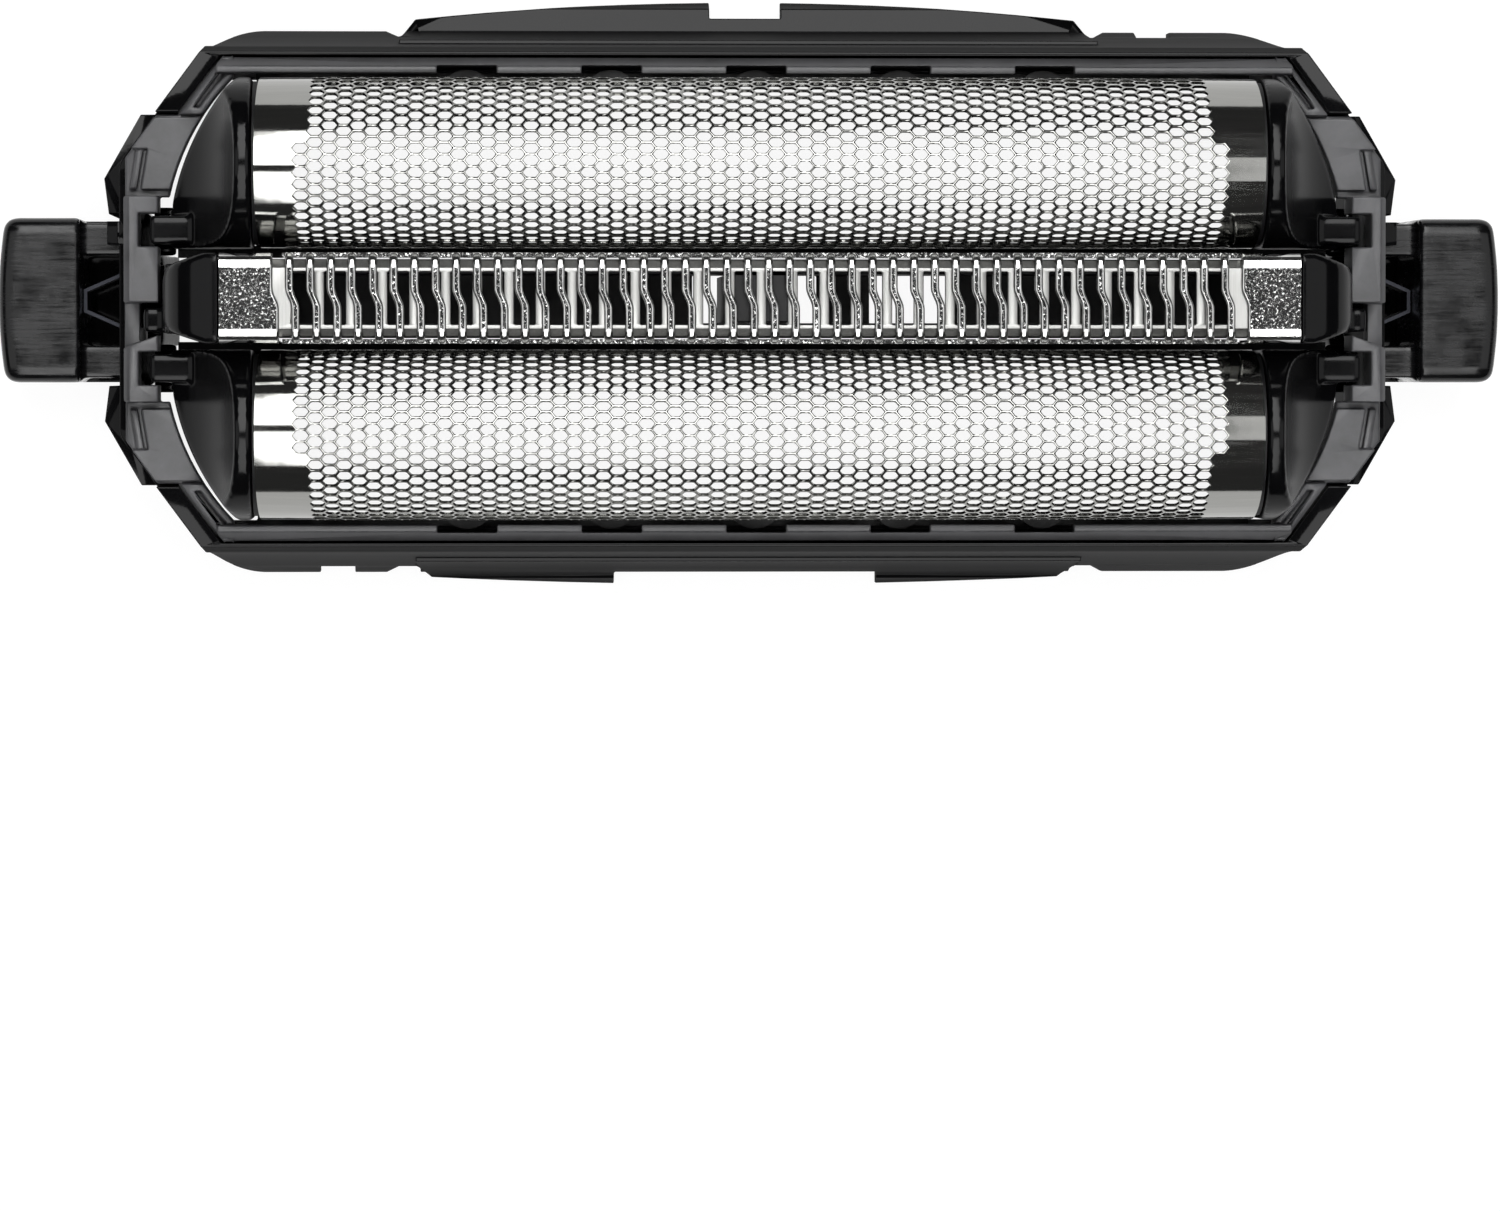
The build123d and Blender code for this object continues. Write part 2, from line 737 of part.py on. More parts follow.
def end_fittings():
    """Spring shelf inside the right end wall, the small guard block outside it and the button's sill."""
    wall_inner = frame_end - frame_wall
    shelf_end = wall_inner - spring_shelf
    shelf_under = spring_shelf_top - spring_shelf_height
    profile = outline(
        [
            (frame_end - frame_wall / 2, spring_shelf_top),
            (shelf_end, spring_shelf_top),
            (shelf_end, shelf_under),
            (shelf_end + spring_shelf / 2, shelf_under),
            (frame_end - frame_wall / 2, shelf_under - spring_gusset),
        ]
    )
    part = along_y(profile, -spring_shelf_width / 2, spring_shelf_width / 2)
    guard_depth = button_back - frame_end - button_travel - slide_gap
    guard_back = arm_gap / 2 + arm_width
    guard = block(
        frame_end - frame_wall, frame_end + guard_depth, guard_back - guard_width, guard_back,
        end_wall_top - guard_height, end_wall_top,
    )
    half = button_width / 2
    sill = block(frame_end - frame_wall, frame_end + sill_reach, -half, half, 0, button_base - slide_gap)
    return part + guard + sill


def end_shoulder():
    """Wedge-shaped shoulder on the right end wall, beside the button at the rear."""
    apex_x = frame_end + shoulder_reach
    root = frame_end - corner_run / 2
    plan = outline(
        [
            (root, shoulder_near),
            (apex_x - shoulder_slant, shoulder_near),
            (apex_x, shoulder_apex),
            (apex_x - shoulder_taper, end_gate / 2),
            (root, end_gate / 2),
        ]
    )
    return along_z(plan, 0, shoulder_height)


def foil_frame():
    """Outer ring: flared skirt, lowered end walls with shoulders and arm slots, plates and notches."""
    part = along_z(frame_plan(), 0, frame_top)
    part &= both_sides(along_x(skirt_section(), -frame_end, frame_end))
    reach = 2 * frame_half
    valley_floor = frame_half - valley_depth
    valley_end = frame_end - valley_inset
    valley_start = valley_end - valley_width
    valley = outline(
        [
            (valley_start, valley_floor),
            (valley_end - valley_slope, valley_floor),
            (valley_end, frame_half),
            (valley_end, reach),
            (valley_start, reach),
        ]
    )
    part -= both_sides(both_ends(along_z(valley, 0, valley_height)))
    part += skirt_plate(rear_plate_inset, rear_plate_flare, rear_shelf)
    part += mirror(skirt_plate(front_plate_inset, front_plate_flare, front_shelf), Plane.XZ)
    part += both_ends(both_sides(end_shoulder()))
    part -= frame_cavity()
    gate_start = frame_end - corner_run
    gate = block(gate_start, 2 * frame_end, -end_gate / 2, end_gate / 2, end_wall_top, 2 * frame_top)
    part -= both_ends(gate)
    notch_floor = frame_half + rear_plate_flare - rear_notch_depth
    part -= block(-rear_notch / 2, rear_notch / 2, notch_floor, reach, 0, plate_height)
    part -= block(-front_gap / 2, front_gap / 2, -reach, -frame_half, 0, plate_height)
    slot_start = frame_end - key_slot_inset - key_slot_width / 2
    slot_end = slot_start + key_slot_width
    key_slot = block(slot_start, slot_end, valley_floor, reach, 0, valley_height)
    part -= key_slot
    part -= key_slot.rotate(Axis.Z, 180)
    arm_slot = block(
        frame_end - 2 * frame_wall, frame_end, arm_gap / 2 - slide_gap, arm_gap / 2 + arm_width + slide_gap,
        arm_bottom - slide_gap, arm_bottom + arm_height + slide_gap,
    )
    part -= both_ends(both_sides(arm_slot))
    return part + both_ends(end_fittings())


# Release buttons


def release_button():
    """Right-hand button: rounded head, two arms through the end wall, barbs and a latch tooth."""
    half = button_width / 2
    edge = button_tip - button_bulge
    face = ThreePointArc((edge, -half), (button_tip, 0), (edge, half))
    back = Polyline((edge, half), (button_back, half), (button_back, -half), (edge, -half))
    head = along_z(make_face([face, *back.edges()]), button_base, button_base + button_height)
    head = fillet(head.edges().filter_by(Axis.Z).group_by(Axis.X)[-1], button_round)
    top_edges = head.faces().sort_by(Axis.Z)[-1].edges().sort_by(Axis.X)
    head = fillet(top_edges[1:], button_round)
    wall_inner = frame_end - frame_wall
    arm_inner = arm_gap / 2
    arm_outer = arm_inner + arm_width
    barb_start = wall_inner - slide_gap - barb_length
    arm_plan = outline(
        [
            (button_back + button_round, arm_inner),
            (button_back + button_round, arm_outer),
            (wall_inner - slide_gap, arm_outer),
            (wall_inner - slide_gap, arm_outer + barb_width),
            (barb_start, arm_outer),
            (barb_start, arm_inner),
        ]
    )
    head += both_sides(along_z(arm_plan, arm_bottom, arm_bottom + arm_height))
    latch = outline(
        [
            (barb_start + barb_length, arm_bottom),
            (barb_start + barb_length, arm_bottom + latch_height),
            (barb_start, arm_bottom + latch_height),
            (barb_start - latch_tooth, arm_bottom),
        ]
    )
    return head + along_y(latch, -arm_inner, arm_inner)


# Leaf springs


def formed_leaf(span, rise):
    """Edge view of a formed strip: two flat feet on the base line and a flat crown at the given rise."""
    half = span / 2
    crown = leaf_crown / 2
    under = Polyline(
        (-half, 0), (leaf_foot - half, 0), (-crown, rise - leaf_sheet),
        (crown, rise - leaf_sheet), (half - leaf_foot, 0), (half, 0),
    )
    strip = offset(under, leaf_sheet, kind=Kind.INTERSECTION, side=Side.LEFT)
    return make_face(strip.edges())


def trimmer_spring():
    """Right-hand leaf between the frame's shelf and the trimmer."""
    rise = carrier_bottom - spring_shelf_top - 2 * seat_gap
    middle = frame_end - frame_wall - spring_shelf + seat_gap + trimmer_leaf_span / 2
    leaf = Pos(middle, spring_shelf_top + seat_gap) * formed_leaf(trimmer_leaf_span, rise)
    return along_y(leaf, -leaf_width / 2, leaf_width / 2)


def button_spring():
    """Right-hand leaf between the end wall and the button's head."""
    rise = button_back - frame_end - 2 * seat_gap
    leaf = Pos(frame_end + seat_gap, 0) * Rot(0, 0, -90) * formed_leaf(button_leaf_span, rise)
    middle = arm_bottom + arm_height / 2
    return along_z(leaf, middle - leaf_width / 2, middle + leaf_width / 2)


os.makedirs("parts", exist_ok=True)


def save(part, name):
    """Write one piece to its own file."""
    export_step(part, f"parts/{name}.step")


def save_pair(part, name):
    """Write a right-hand piece and its left-hand mirror image."""
    save(part, f"{name}_right")
    save(mirror(part, Plane.YZ), f"{name}_left")


save(foil_frame(), "foil_frame")
save(cassette_frame(), "cassette_frame")
for name, piece in [("foil", foil()), ("foil_holder", foil_holder())]:
    save(piece, f"{name}_rear")
    save(mirror(piece, Plane.XZ), f"{name}_front")
cap = foil_cap()
save_pair(cap, "foil_cap_rear")
save_pair(mirror(cap, Plane.XZ), "foil_cap_front")
save(trimmer_comb(), "trimmer_comb")
save(trimmer_blade(), "trimmer_blade")
save(trimmer_carrier(), "trimmer_carrier")
save(trimmer_yoke(), "trimmer_yoke")
save_pair(trimmer_cap(), "trimmer_cap")
save_pair(trimmer_spring(), "trimmer_spring")
save_pair(release_button(), "release_button")
save_pair(button_spring(), "button_spring")
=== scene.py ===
"""Dresses the shaver foil head: perforated foils, softened mouldings, finishes and a white studio."""

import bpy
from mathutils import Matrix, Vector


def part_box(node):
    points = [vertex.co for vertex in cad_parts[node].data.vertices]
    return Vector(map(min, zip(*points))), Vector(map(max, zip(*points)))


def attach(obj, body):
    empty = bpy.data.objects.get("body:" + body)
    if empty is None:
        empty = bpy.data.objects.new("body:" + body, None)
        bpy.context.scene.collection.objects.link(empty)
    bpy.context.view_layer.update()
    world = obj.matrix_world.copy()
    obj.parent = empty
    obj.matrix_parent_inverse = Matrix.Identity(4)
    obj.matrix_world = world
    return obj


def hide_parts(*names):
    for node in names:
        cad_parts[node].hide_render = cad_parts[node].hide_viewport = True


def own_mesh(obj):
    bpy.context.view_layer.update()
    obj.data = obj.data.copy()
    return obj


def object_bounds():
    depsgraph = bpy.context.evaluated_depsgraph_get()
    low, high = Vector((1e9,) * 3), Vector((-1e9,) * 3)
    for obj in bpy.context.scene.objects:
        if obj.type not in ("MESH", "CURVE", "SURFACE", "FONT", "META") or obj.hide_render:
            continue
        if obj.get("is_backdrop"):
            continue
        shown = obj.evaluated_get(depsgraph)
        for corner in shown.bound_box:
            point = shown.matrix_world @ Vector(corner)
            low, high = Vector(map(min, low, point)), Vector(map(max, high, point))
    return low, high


bl_info = {
    "name": "Shaver foil head",
    "version": (1, 0, 0),
    "blender": (4, 5, 0),
    "location": "3D View > Sidebar > Foil head",
    "description": "Builds the visual model of a three-blade shaver foil head over its CAD frame",
    "category": "Object",
}

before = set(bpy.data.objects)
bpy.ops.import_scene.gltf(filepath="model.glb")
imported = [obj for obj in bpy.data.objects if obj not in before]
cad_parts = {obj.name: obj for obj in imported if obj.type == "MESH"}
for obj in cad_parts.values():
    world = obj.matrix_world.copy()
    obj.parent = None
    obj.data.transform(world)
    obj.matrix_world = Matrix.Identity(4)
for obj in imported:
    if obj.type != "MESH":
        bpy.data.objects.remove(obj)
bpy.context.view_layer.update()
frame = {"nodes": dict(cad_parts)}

from math import asin, cos, pi, radians, sin, tan

import bmesh
import bpy
from bpy.props import FloatProperty, FloatVectorProperty, IntProperty, PointerProperty
from mathutils import Matrix, Vector

MM = 0.001
ENDS = ("left", "right")
SIDES = ("rear", "front")

# Axes, and the two corners of a box
LOW = 0
HIGH = 1

# Tolerances of the mesh work, in metres
WELD = 1e-6  # points nearer than this become one
SLIVER = 1e-7  # shorter edges are dissolved
ON_LINE = 1e-8  # a point this near to a line lies on it
TRIM = 1e-9  # snap of a straight cut

# Fineness of the meshes
CREASE = radians(30)  # edges sharper than this are rounded
COMB_CREASE = radians(40)  # edges of the comb sharper than this stay sharp in the shading
FACE_WEIGHT = 50  # how much a face's size counts in the shading
EASE_SHARE = 0.5  # how far one easing pass moves a point
SPARE_CELLS = 2  # lattice cells past the foil's edge, cut off again
SHOULDER_POINTS = 7  # round the comb's bent shoulder
CROWN_SPANS = 18  # across the comb's flat top
EDGE_SPANS = 4  # round a bar's edge
EDGE_SUPPORT = 1.3  # a line beside a bar's rounded edge, in edge radii, that keeps the flat flat

# Studio
SWEEP_HALF = 3.0  # metres from the middle of the paper to its edge
SWEEP_CELLS = 8
SWEEP_GAP = 0.02 * MM  # between the paper and the head
SENSOR_MM = 36
WHITE = (1, 1, 1, 1)

# Moulded plastics
PLASTIC_IOR = 1.5


def linear(hex_colour):
    """Linear RGB of an sRGB colour written as six hex digits."""
    shades = [int(hex_colour[i : i + 2], 16) / 255 for i in (1, 3, 5)]
    return tuple(c / 12.92 if c <= 0.04045 else ((c + 0.055) / 1.055) ** 2.4 for c in shades)


def per_metre(size_mm):
    """Texture scale at which one feature of a pattern measures size_mm."""
    return 1 / (size_mm * MM)


# Sizes and colours that a user may change


def length(name, description, default_mm):
    """A length property, written in millimetres."""
    return FloatProperty(
        name=name, description=description, default=default_mm * MM, min=0, unit="LENGTH", precision=6
    )


def angle(name, description, default_deg):
    """An angle property, written in degrees."""
    return FloatProperty(name=name, description=description, default=radians(default_deg), unit="ROTATION")


def share(name, description, default, most=1):
    """A property that is a part of a whole."""
    return FloatProperty(
        name=name, description=description, default=default, min=0, max=most, subtype="FACTOR"
    )


def brightness(name, description, default):
    """A property for the strength of a light."""
    return FloatProperty(name=name, description=description, default=default, min=0)


def passes(name, description, default):
    """A property that counts rounding passes."""
    return IntProperty(name=name, description=description, default=default, min=0)


def spot(name, description, default_mm):
    """A place property, written in millimetres."""
    return FloatVectorProperty(
        name=name, description=description, default=tuple(d * MM for d in default_mm), subtype="TRANSLATION"
    )


def colour(name, description, hex_colour):
    """A colour property, written as an sRGB hex value."""
    return FloatVectorProperty(
        name=name,
        description=description,
        default=linear(hex_colour),
        size=3,
        min=0,
        max=1,
        subtype="COLOR",
    )


class FoilSizes(bpy.types.PropertyGroup):
    """Sizes of the perforated foils."""

    column_pitch: length("Column pitch", "Spacing of the hole columns along the foil", 0.613)
    row_pitch: length("Row pitch", "Spacing of the holes round the foil", 0.52)
    bar: length("Bar", "Width of the metal left between two holes", 0.095)
    sheet: length("Sheet", "Thickness of the foil", 0.12)
    radius: length("Radius", "Outer radius of the foil's arch", 3.66)
    bow_radius: length("Bow radius", "Radius of the foil's bow along its length", 333)
    inner_reach: length("Inner reach", "Half length of the holed field beside the trimmer", 20.25)
    outer_reach: length("Outer reach", "Half length of the holed field at the outer edge", 19.15)
    field_drop: length("Field drop", "How far the holes run down the straight sides", 0.9)
    corner_cut: share("Corner cut", "Share of a hole's side that its rounded corner takes", 0.15, 0.5)
    edge_lean: share("Edge lean", "Lean of the surface at the etched edge of a hole", 0.62)
    arch_lean: angle("Arch lean", "Outward lean of the sheet over its arch", 4.5)


class CombSizes(bpy.types.PropertyGroup):
    """Sizes of the slit comb."""

    sheet: length("Sheet", "Thickness of the comb", 0.2)
    shoulder: length("Shoulder", "Radius of the bent shoulders", 0.55)
    slits: IntProperty(name="Slits", description="Number of slits", default=47, min=3)
    margin: length("Margin", "From the comb's end to the middle of the first slit", 2.67)
    bar: length("Bar", "Width of a bar between two slits", 0.36)
    edge: length("Bar edge", "Radius of a bar's rounded edges", 0.11)
    jog: length("Jog", "Sideways step in the middle of each bar", 0.27)
    jog_run: length("Jog run", "Length of the step", 0.9)


class EdgeSizes(bpy.types.PropertyGroup):
    """How far the edges are softened."""

    frame: length("Frame", "Edge radius of the outer frame", 0.05)
    cassette: length("Cassette", "Edge radius of the inner frame", 0.08)
    carrier: length("Carrier", "Edge radius of the trimmer's carrier", 0.05)
    blade: length("Blade", "Edge width of the sliding blade", 0.035)
    grid: length("Grid", "Grid on which the caps and buttons are rounded", 0.1)
    cap_easing: passes("Cap easing", "Rounding passes over the foil caps", 8)
    nose_easing: passes("Nose easing", "Rounding passes over the trimmer's caps", 20)
    button_easing: passes("Button easing", "Rounding passes over the buttons", 16)


class FinishColours(bpy.types.PropertyGroup):
    """Colours of the finishes."""

    foil: colour("Foil", "Bright nickel foil", "#9A9A97")
    comb: colour("Comb", "Tumbled stainless comb", "#CFCFCE")
    blade: colour("Blade", "Ground stainless blade", "#9A9A98")
    # The springs are coloured nearly black as painted shade of the recesses they sit in.
    spring: colour("Springs", "Blued spring steel", "#2B2C30")
    cap: colour("Caps", "Gloss black plastic", "#060607")
    frame: colour("Frame", "Black plastic with polished tops", "#09090A")
    cassette: colour("Cassette", "Satin dark grey plastic", "#3E3E40")
    button: colour("Buttons", "Scuffed black plastic", "#0B0B0C")
    carrier: colour("Carrier", "Matt black plastic", "#0D0D0E")
    paper: colour("Paper", "Paper sweep, apart from its glow", "#6C6C6C")


class StudioSettings(bpy.types.PropertyGroup):
    """Camera and lamps."""

    camera: spot("Camera", "Place of the camera", (-13, -3.1, 323))
    target: spot("Target", "Point that the camera looks at", (-0.1, -13.4, 9))
    lens: FloatProperty(
        name="Lens", description="Focal length in millimetres", default=171.7, min=1, unit="CAMERA"
    )
    rear_lamp: brightness("Rear lamp", "Brightness of the rear soft box", 7.0)
    front_lamp: brightness("Front lamp", "Brightness of the front soft box", 5.0)
    end_lamp: brightness("End lamps", "Brightness of the boxes off both ends", 1.2)
    room: brightness("Room", "Brightness of the room round the table", 0.05)
    paper_glow: brightness("Paper glow", "How white the paper is to the eye and in reflections", 0.9)
    lamp_height: length("Lamp height", "Height of the soft boxes over the floor", 800)
    long_near: angle("Long box, near edge", "Inner edge of a long side's box off the vertical", 4.5)
    long_far: angle("Long box, far edge", "Outer edge of a long side's box off the vertical", 50)
    long_side: angle("Long box, side edge", "Half width of a long side's box", 12)
    end_near: angle("End box, near edge", "Inner edge of an end's box off the vertical", 14)
    end_far: angle("End box, far edge", "Outer edge of an end's box off the vertical", 58)
    end_side: angle("End box, side edge", "Half width of an end's box", 16)


# Materials


def add_node(tree, kind, inputs=None, ramp=None, **settings):
    """Adds a node with its settings and colour stops; inputs that are nodes or sockets are linked."""
    node = tree.nodes.new(kind)
    for key, value in settings.items():
        setattr(node, key, value)
    if ramp:
        for stop, (position, shade) in zip(node.color_ramp.elements, ramp):
            stop.position = position
            stop.color = shade
    for key, value in (inputs or {}).items():
        if isinstance(value, bpy.types.Node):
            value = value.outputs[0]
        if isinstance(value, bpy.types.NodeSocket):
            tree.links.new(value, node.inputs[key])
        else:
            node.inputs[key].default_value = value
    return node


def new_material(name):
    """An empty node material with its tree and its object coordinates."""
    material = bpy.data.materials.new(name)
    material.use_nodes = True
    tree = material.node_tree
    tree.nodes.clear()
    place = add_node(tree, "ShaderNodeTexCoord").outputs["Object"]
    return material, tree, place


def opaque(shade, gain):
    """A colour with its alpha, made lighter or darker by a gain."""
    return (*(min(1.0, c * gain) for c in shade), 1.0)


def nickel_foil():
    """Electroformed nickel, bright from the bath and rubbed along the foil by use."""
    # Mirror-like sheet whose reflections waver a little and carry faint lengthwise rub marks.
    # The marks are drawn coarser than real ones, so that they show.
    shade = bpy.context.scene.finish_colours.foil
    material, tree, place = new_material("nickel_foil_electroformed")
    lay = (per_metre(9), per_metre(0.16), per_metre(0.16))
    rub_place = add_node(tree, "ShaderNodeMapping", {"Vector": place, "Scale": lay})
    rub = add_node(tree, "ShaderNodeTexNoise", {"Vector": rub_place, "Scale": 1.0, "Detail": 4.0})
    tone = add_node(
        tree,
        "ShaderNodeValToRGB",
        {"Fac": rub},
        ramp=((0, opaque(shade, 0.86)), (1, opaque(shade, 1.06))),
    )
    rough = add_node(
        tree,
        "ShaderNodeMapRange",
        {"Value": rub, "From Min": 0.3, "From Max": 0.75, "To Min": 0.05, "To Max": 0.11},
    )
    wave = add_node(
        tree, "ShaderNodeTexNoise", {"Vector": place, "Scale": per_metre(1.4), "Detail": 2.0}
    )
    bump = add_node(
        tree, "ShaderNodeBump", {"Height": wave, "Strength": 0.25, "Distance": 0.012 * MM}
    )
    shader = add_node(
        tree,
        "ShaderNodeBsdfPrincipled",
        {"Base Color": tone, "Metallic": 1.0, "Roughness": rough, "Normal": bump},
    )
    add_node(tree, "ShaderNodeOutputMaterial", {"Surface": shader})
    return material


def tumbled_comb():
    """Stainless strip, etched through and tumbled, with a lightly pitted top."""
    # Wire-bright bars, and dark flat end plates that glitter with small pits.
    shade = bpy.context.scene.finish_colours.comb
    material, tree, place = new_material("stainless_comb_tumbled")
    pits = add_node(
        tree,
        "ShaderNodeTexNoise",
        {"Vector": place, "Scale": per_metre(0.12), "Detail": 3.0, "Roughness": 0.6},
    )
    cloud = add_node(
        tree, "ShaderNodeTexNoise", {"Vector": place, "Scale": per_metre(0.7), "Detail": 3.0}
    )
    tone = add_node(
        tree,
        "ShaderNodeValToRGB",
        {"Fac": cloud},
        ramp=((0.3, opaque(shade, 0.6)), (0.7, opaque(shade, 1.04))),
    )
    rough = add_node(
        tree,
        "ShaderNodeMapRange",
        {"Value": pits, "From Min": 0.35, "From Max": 0.75, "To Min": 0.03, "To Max": 0.2},
    )
    dents = add_node(
        tree,
        "ShaderNodeMapRange",
        {"Value": pits, "From Min": 0.62, "From Max": 0.78, "To Min": 1.0, "To Max": 0.0},
    )
    bump = add_node(
        tree, "ShaderNodeBump", {"Height": dents, "Strength": 0.4, "Distance": 0.008 * MM}
    )
    shader = add_node(
        tree,
        "ShaderNodeBsdfPrincipled",
        {"Base Color": tone, "Metallic": 1.0, "Roughness": rough, "Normal": bump},
    )
    add_node(tree, "ShaderNodeOutputMaterial", {"Surface": shader})
    return material


def ground_blade():
    """Stainless blade with a ground face."""
    # Pale and silky, with grinding lines along the teeth.
    # The lines are drawn coarser than real ones, so that they show.
    shade = bpy.context.scene.finish_colours.blade
    material, tree, place = new_material("stainless_blade_ground")
    lay = (per_metre(0.07), per_metre(2.5), per_metre(0.07))
    line_place = add_node(tree, "ShaderNodeMapping", {"Vector": place, "Scale": lay})
    lines = add_node(tree, "ShaderNodeTexNoise", {"Vector": line_place, "Scale": 1.0, "Detail": 4.0})
    tone = add_node(
        tree,
        "ShaderNodeValToRGB",
        {"Fac": lines},
        ramp=((0.25, opaque(shade, 0.8)), (0.75, opaque(shade, 1.05))),
    )
    rough = add_node(
        tree,
        "ShaderNodeMapRange",
        {"Value": lines, "From Min": 0.3, "From Max": 0.7, "To Min": 0.3, "To Max": 0.45},
    )
    bump = add_node(
        tree, "ShaderNodeBump", {"Height": lines, "Strength": 0.2, "Distance": 0.006 * MM}
    )
    shader = add_node(
        tree,
        "ShaderNodeBsdfPrincipled",
        {"Base Color": tone, "Metallic": 1.0, "Roughness": rough, "Normal": bump},
    )
    add_node(tree, "ShaderNodeOutputMaterial", {"Surface": shader})
    return material


def spring_painted_shade():
    """Spring steel strip, coloured nearly black as painted shade of the recesses it sits in."""
    # Nearly black and even, as painted shade, with a faint grain, which is drawn coarser than a real one so
    # that it shows.
    shade = bpy.context.scene.finish_colours.spring
    material, tree, place = new_material("spring_steel_painted_shade")
    grain = add_node(
        tree, "ShaderNodeTexNoise", {"Vector": place, "Scale": per_metre(0.2), "Detail": 4.0}
    )
    tone = add_node(
        tree,
        "ShaderNodeValToRGB",
        {"Fac": grain},
        ramp=((0, opaque(shade, 0.8)), (1, opaque(shade, 1.1))),
    )
    bump = add_node(
        tree, "ShaderNodeBump", {"Height": grain, "Strength": 0.2, "Distance": 0.005 * MM}
    )
    shader = add_node(
        tree,
        "ShaderNodeBsdfPrincipled",
        {"Base Color": tone, "Metallic": 1.0, "Roughness": 0.34, "Normal": bump},
    )
    add_node(tree, "ShaderNodeOutputMaterial", {"Surface": shader})
    return material


def plastic(name, shade, grain_mm, grain_depth_mm, top_rough, wall_rough, mottle, sheen):
    """A moulded plastic with smooth tops, duller walls, a handling haze and a slight cloud in its colour."""
    # A spark-eroded tool's grain is drawn coarser than a real one, so that it shows.
    material, tree, place = new_material(name)
    cloud = add_node(
        tree,
        "ShaderNodeTexNoise",
        {"Vector": place, "Scale": per_metre(3), "Detail": 5.0, "Roughness": 0.65},
    )
    tone = add_node(
        tree,
        "ShaderNodeValToRGB",
        {"Fac": cloud},
        ramp=((0.3, opaque(shade, 1 - mottle)), (0.72, opaque(shade, 1 + 2 * mottle))),
    )
    haze = add_node(
        tree,
        "ShaderNodeMapRange",
        {"Value": cloud, "From Min": 0.35, "From Max": 0.7, "To Min": top_rough, "To Max": 1.5 * top_rough},
    )
    normal = add_node(tree, "ShaderNodeNewGeometry").outputs["Normal"]
    upward = add_node(tree, "ShaderNodeSeparateXYZ", {"Vector": normal}).outputs["Z"]
    rough = add_node(
        tree,
        "ShaderNodeMapRange",
        {"Value": upward, "From Min": 0.3, "From Max": 0.7, "To Min": wall_rough, "To Max": haze},
    )
    grain = add_node(
        tree, "ShaderNodeTexNoise", {"Vector": place, "Scale": per_metre(grain_mm), "Detail": 2.0}
    )
    bump = add_node(
        tree, "ShaderNodeBump", {"Height": grain, "Strength": 0.35, "Distance": grain_depth_mm * MM}
    )
    shader = add_node(
        tree,
        "ShaderNodeBsdfPrincipled",
        {
            "Base Color": tone,
            "Roughness": rough,
            "IOR": PLASTIC_IOR,
            "Specular IOR Level": sheen,
            "Normal": bump,
        },
    )
    add_node(tree, "ShaderNodeOutputMaterial", {"Surface": shader})
    return material


def gloss_cap():
    """ABS from a polished tool."""
    # Deep black with clean highlights that waver slightly, as orange peel does.
    return plastic(
        "abs_cap_polished_black",
        bpy.context.scene.finish_colours.cap,
        grain_mm=0.5,
        grain_depth_mm=0.002,
        top_rough=0.11,
        wall_rough=0.3,
        mottle=0.2,
        sheen=0.16,
    )


def polished_frame():
    """ABS, polished on its upper faces and spark-textured down its walls."""
    # Black all over, with crisp light along the edges and dull walls.
    return plastic(
        "abs_frame_polished_black",
        bpy.context.scene.finish_colours.frame,
        grain_mm=0.3,
        grain_depth_mm=0.002,
        top_rough=0.045,
        wall_rough=0.75,
        mottle=0.25,
        sheen=0.13,
    )


def satin_cassette():
    """Acetal, satin from the tool."""
    # Dark grey, a little mottled, with a broad soft sheen.
    return plastic(
        "acetal_cassette_satin_grey",
        bpy.context.scene.finish_colours.cassette,
        grain_mm=0.25,
        grain_depth_mm=0.006,
        top_rough=0.3,
        wall_rough=0.7,
        mottle=0.35,
        sheen=0.5,
    )


def matt_carrier():
    """Nylon, matt from the tool."""
    # Black that stays dark behind the bright steel.
    return plastic(
        "nylon_carrier_matt_black",
        bpy.context.scene.finish_colours.carrier,
        grain_mm=0.18,
        grain_depth_mm=0.01,
        top_rough=0.4,
        wall_rough=0.7,
        mottle=0.2,
        sheen=0.25,
    )


def scuffed_button():
    """ABS with a fine spark finish, rubbed by thumbs."""
    # Nearly black face with rub lines along the head and paler scuffs.
    # The lines are drawn coarser than real ones, so that they show.
    shade = bpy.context.scene.finish_colours.button
    material, tree, place = new_material("abs_button_rubbed_black")
    lay = (per_metre(2.2), per_metre(0.12), per_metre(1.0))
    line_place = add_node(tree, "ShaderNodeMapping", {"Vector": place, "Scale": lay})
    lines = add_node(
        tree,
        "ShaderNodeTexNoise",
        {"Vector": line_place, "Scale": 1.0, "Detail": 5.0, "Roughness": 0.7},
    )
    patch = add_node(
        tree, "ShaderNodeTexNoise", {"Vector": place, "Scale": per_metre(1.8), "Detail": 4.0}
    )
    scuff = add_node(tree, "ShaderNodeMath", {0: lines, 1: patch}, operation="MULTIPLY")
    tone = add_node(
        tree,
        "ShaderNodeValToRGB",
        {"Fac": scuff},
        ramp=((0.2, opaque(shade, 0.8)), (0.42, opaque(shade, 2.6))),
    )
    rough = add_node(
        tree,
        "ShaderNodeMapRange",
        {"Value": scuff, "From Min": 0.15, "From Max": 0.42, "To Min": 0.12, "To Max": 0.4},
    )
    bump = add_node(
        tree, "ShaderNodeBump", {"Height": lines, "Strength": 0.25, "Distance": 0.01 * MM}
    )
    shader = add_node(
        tree,
        "ShaderNodeBsdfPrincipled",
        {
            "Base Color": tone,
            "Roughness": rough,
            "IOR": PLASTIC_IOR,
            "Specular IOR Level": 0.3,
            "Normal": bump,
        },
    )
    add_node(tree, "ShaderNodeOutputMaterial", {"Surface": shader})
    return material


